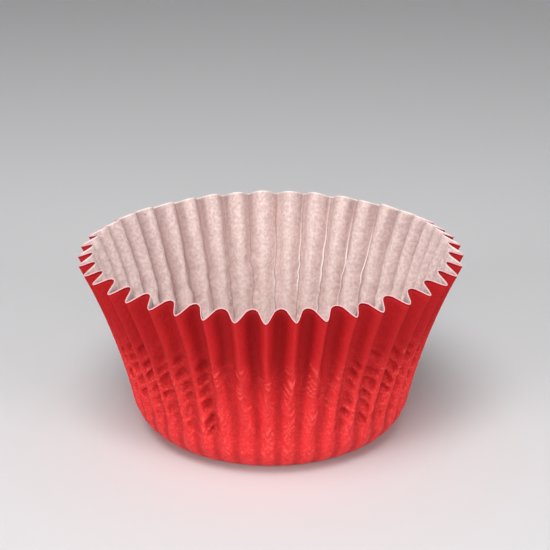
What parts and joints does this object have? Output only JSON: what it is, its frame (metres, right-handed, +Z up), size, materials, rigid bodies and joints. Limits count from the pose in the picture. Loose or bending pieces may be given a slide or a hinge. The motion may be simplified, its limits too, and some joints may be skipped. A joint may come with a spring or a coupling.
{
  "type": "cupcake liner",
  "caption": "Pleated paper baking cup with a flat round base, a rounded lower bend and a flaring fluted wall.",
  "frame": {"origin": "centre of the base's underside, on the surface that the cup stands on", "axes": "+Z up along the cup's axis, out of its mouth; -Y towards the viewer, along one outward fold"},
  "size_m": [0.0758, 0.076, 0.0377],
  "materials": {
    "paper": "satin coated paper, red outside and pale inside"
  },
  "bodies": {
    "root": {"baking_cup": "paper"}
  },
  "joints": []
}
